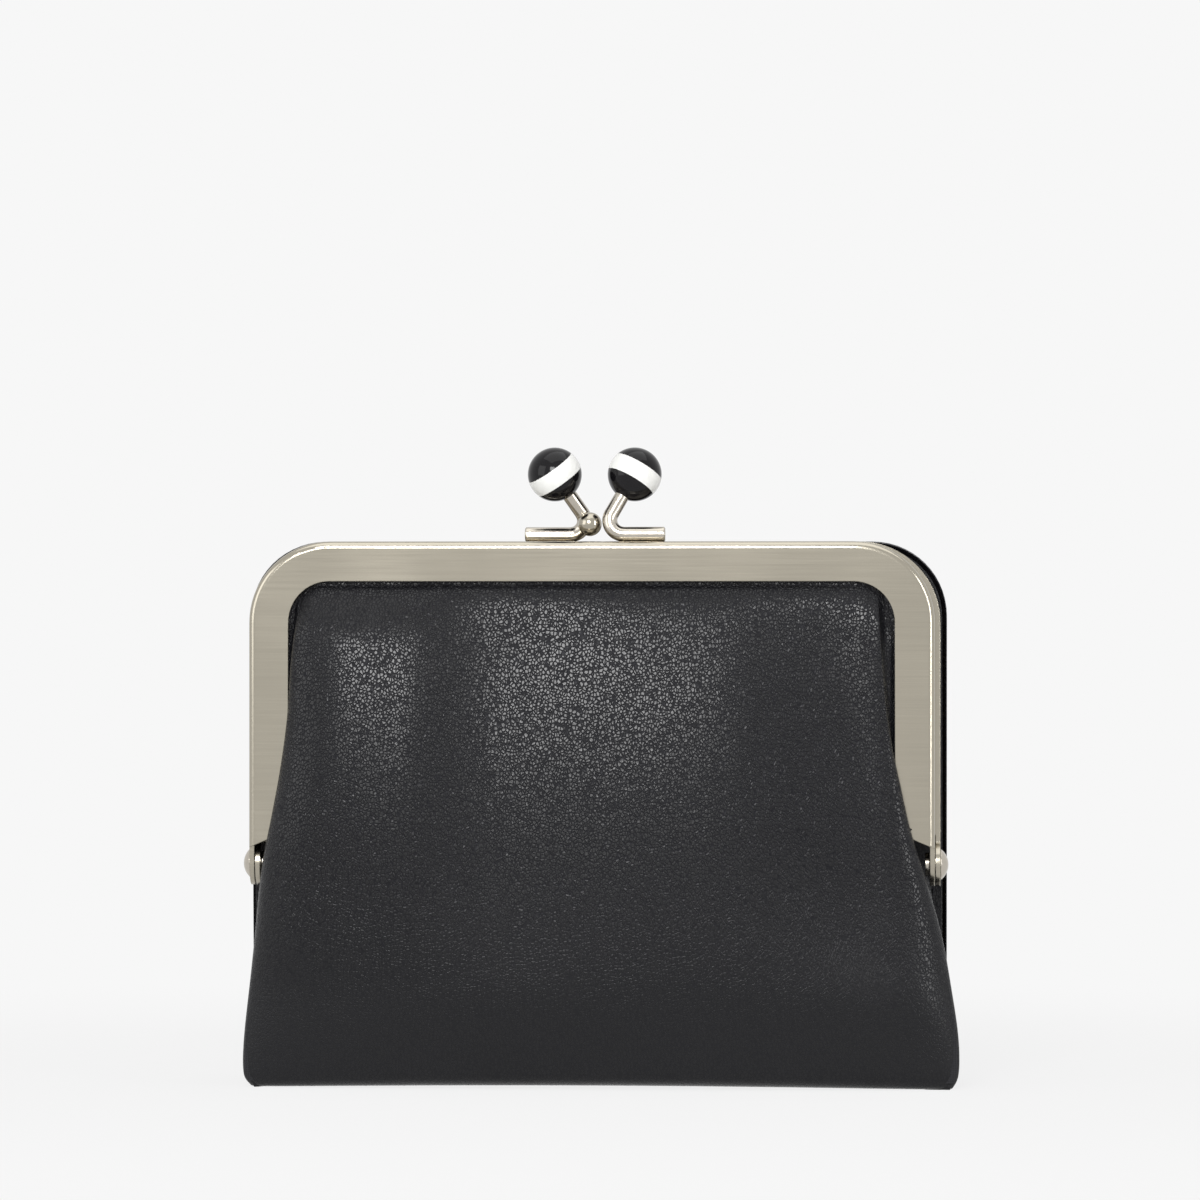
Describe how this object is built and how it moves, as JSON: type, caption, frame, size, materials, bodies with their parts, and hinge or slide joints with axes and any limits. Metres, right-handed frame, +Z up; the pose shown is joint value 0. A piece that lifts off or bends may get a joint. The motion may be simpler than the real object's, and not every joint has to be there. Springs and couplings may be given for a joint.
{
  "type": "kiss lock frame purse",
  "caption": "Small leather purse on a riveted U-shaped metal frame with a ball kiss-lock clasp, and a card leaf that folds up flat behind it.",
  "frame": {"origin": "on the base, under the plane where the two halves of the metal frame meet, in the middle of the width", "axes": "+X to the right seen from the front, +Y to the back where the leaf is, +Z up towards the clasp"},
  "size_m": [0.1152, 0.029, 0.1026],
  "materials": {
    "frame_nickel": "brushed nickel plate",
    "bright_nickel": "polished nickel plate",
    "leather": "fine-grained black leather with a soft sheen",
    "lining": "plain black woven lining",
    "ball_black": "polished black resin",
    "ball_white": "polished white resin",
    "paper": "kraft paper"
  },
  "bodies": {
    "purse": {"rear_frame": "frame_nickel", "rear_paper_cord": "paper", "rear_panel": "leather", "rear_lining": "lining", "left_clasp_rod": "bright_nickel", "left_ball": "ball_black", "left_ball_band": "ball_white", "catch_bead": "frame_nickel", "left_rivet": "bright_nickel", "right_rivet": "bright_nickel", "pouch_bottom": "leather", "pouch_lining": "lining", "left_gusset": "leather", "right_gusset": "leather", "spine_fold": "leather"},
    "front_half": {"front_frame": "frame_nickel", "front_paper_cord": "paper", "front_panel": "leather", "front_lining": "lining", "right_clasp_rod": "bright_nickel", "right_ball": "ball_black", "right_ball_band": "ball_white"},
    "back_leaf": {"leaf_cover": "leather", "leaf_board": "paper", "leaf_lining": "leather", "card_pocket_1": "leather", "card_pocket_2": "leather", "card_pocket_3": "leather"}
  },
  "joints": [
    {"name": "frame_hinge", "type": "hinge", "parent": "purse", "child": "front_half", "pos_m": [0, 0, 0.0357], "axis": [1, 0, 0], "range_deg": [0, 60], "deforming": ["left_gusset", "right_gusset"]},
    {"name": "leaf_fold", "type": "hinge", "parent": "purse", "child": "back_leaf", "pos_m": [0, 0.013, 0.003], "axis": [-1, 0, 0], "range_deg": [0, 180], "deforming": ["spine_fold"]}
  ]
}
